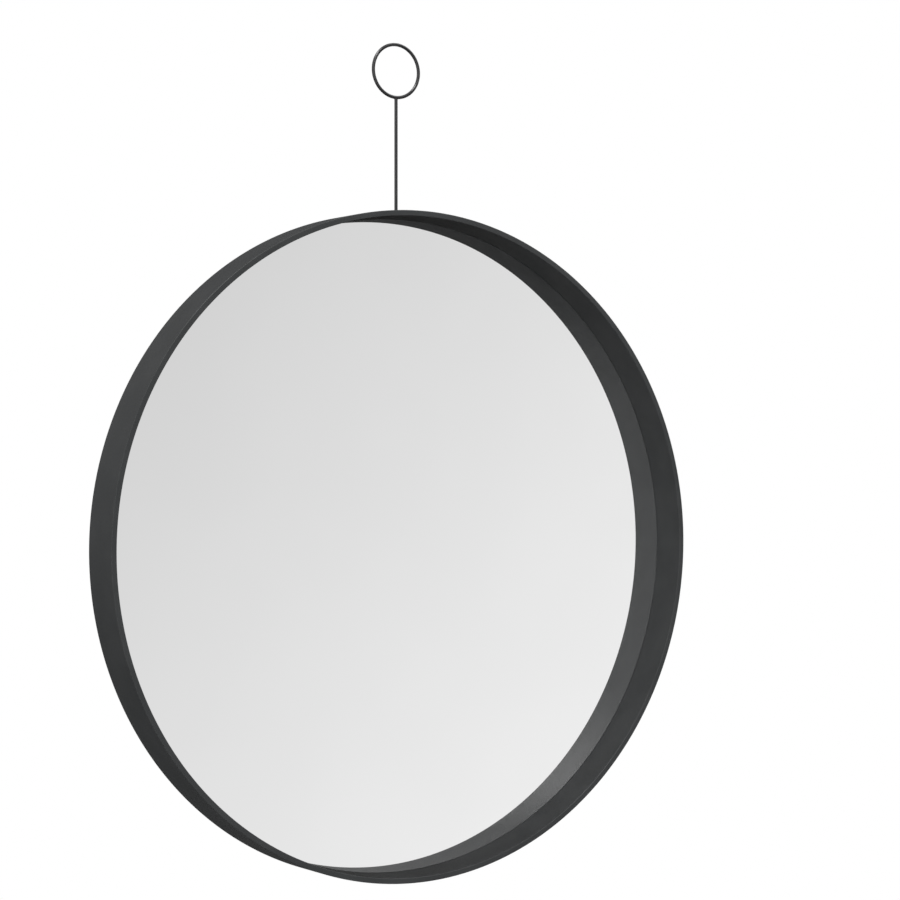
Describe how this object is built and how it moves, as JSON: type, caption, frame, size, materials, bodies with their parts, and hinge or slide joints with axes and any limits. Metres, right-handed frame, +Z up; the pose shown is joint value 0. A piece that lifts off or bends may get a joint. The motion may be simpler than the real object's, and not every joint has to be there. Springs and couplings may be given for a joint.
{
  "type": "hanging mirror",
  "caption": "Round wall mirror set deep in a flat black steel hoop, hung from a nail by a wire ring on a thin rod, with a hardboard back.",
  "frame": {"origin": "nail seat: the inside top of the hanger ring, in the middle of its wire", "axes": "+Z up along the hanger rod, +Y towards the wall, the glass faces -Y, +X to the right as seen from the front"},
  "size_m": [0.4, 0.03, 0.504],
  "materials": {
    "black_coat": "satin black powder coat on steel",
    "bare_steel": "bright zinc plate",
    "silvered_glass": "silvered float glass",
    "hardboard": "smooth brown hardboard",
    "foam_tape": "white foam mounting tape"
  },
  "bodies": {
    "root": {"frame_hoop": "black_coat", "hanger_rod": "black_coat", "hanger_ring": "black_coat", "rod_foot_weld": "black_coat", "ring_weld": "black_coat", "panel_lug_1": "black_coat", "panel_lug_2": "black_coat", "panel_lug_3": "black_coat", "panel_lug_4": "black_coat", "panel_lug_5": "black_coat", "panel_lug_6": "black_coat", "lug_welds": "black_coat", "mirror_glass": "silvered_glass", "back_panel": "hardboard", "panel_screws": "bare_steel", "mirror_tape_1": "foam_tape", "mirror_tape_2": "foam_tape", "mirror_tape_3": "foam_tape", "mirror_tape_4": "foam_tape"}
  },
  "joints": []
}
